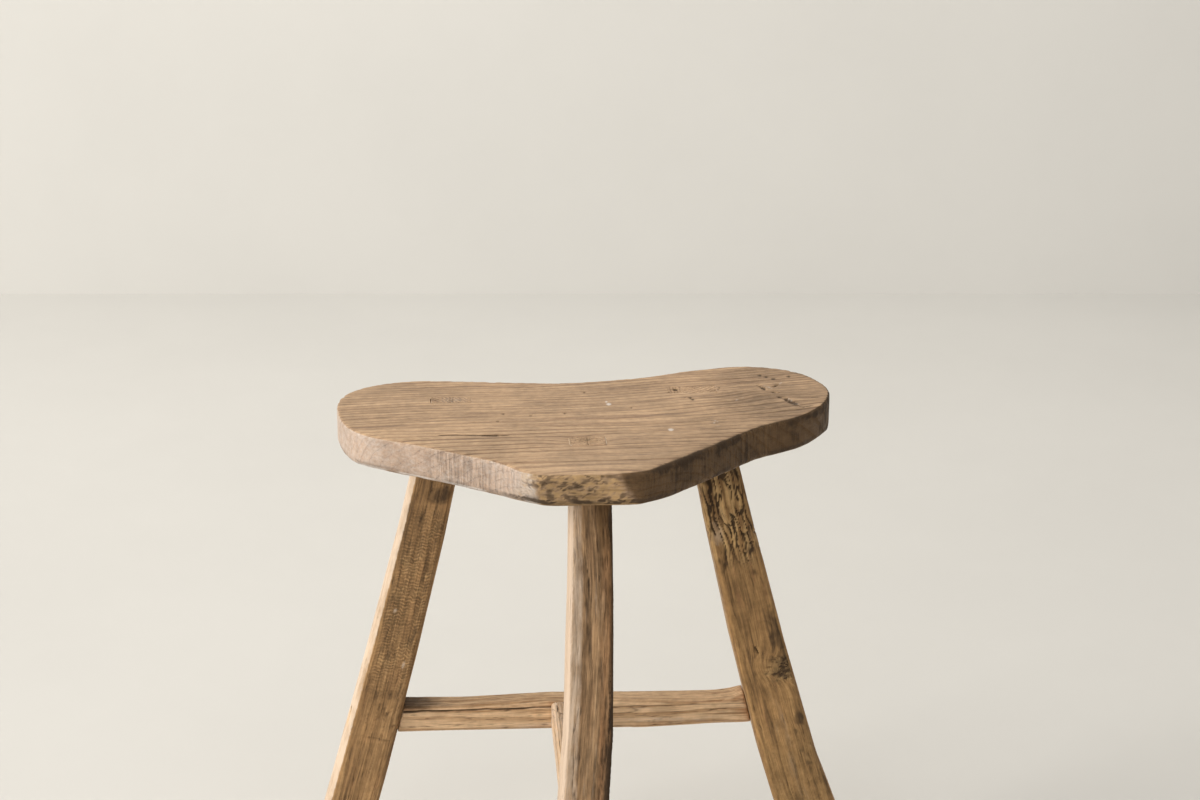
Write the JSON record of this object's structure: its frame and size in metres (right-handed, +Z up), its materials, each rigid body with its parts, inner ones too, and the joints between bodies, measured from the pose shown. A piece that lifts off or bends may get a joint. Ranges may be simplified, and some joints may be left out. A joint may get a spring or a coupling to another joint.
{
  "type": "three-legged wooden stool",
  "caption": "Low wooden milking stool with a heart-shaped plank seat on splayed legs, wedged through tenons and a T of stretchers.",
  "frame": {"origin": "centre of the bounding box on the floor, under the middle of the three feet", "axes": "+Z up to the seat, +X along the back rail towards the right leg, -Y towards the nose and the front leg"},
  "size_m": [0.514, 0.2936, 0.48],
  "materials": {
    "seat_elm": "dry worn plank, dulled wax",
    "front_leg_elm": "coarse open grain, grey-brown patina",
    "left_leg_elm": "rasped surface, dull brown patina",
    "right_leg_elm": "deeply weathered at the top, rubbed smooth below",
    "rail_elm": "pale honey wood, worn",
    "wedge_elm": "dark end grain"
  },
  "bodies": {
    "root": {"seat": "seat_elm", "front_leg": "front_leg_elm", "left_leg": "left_leg_elm", "right_leg": "right_leg_elm", "back_rail": "rail_elm", "cross_stretcher": "rail_elm", "front_wedge": "wedge_elm", "left_wedge": "wedge_elm", "right_wedge": "wedge_elm"}
  },
  "joints": []
}
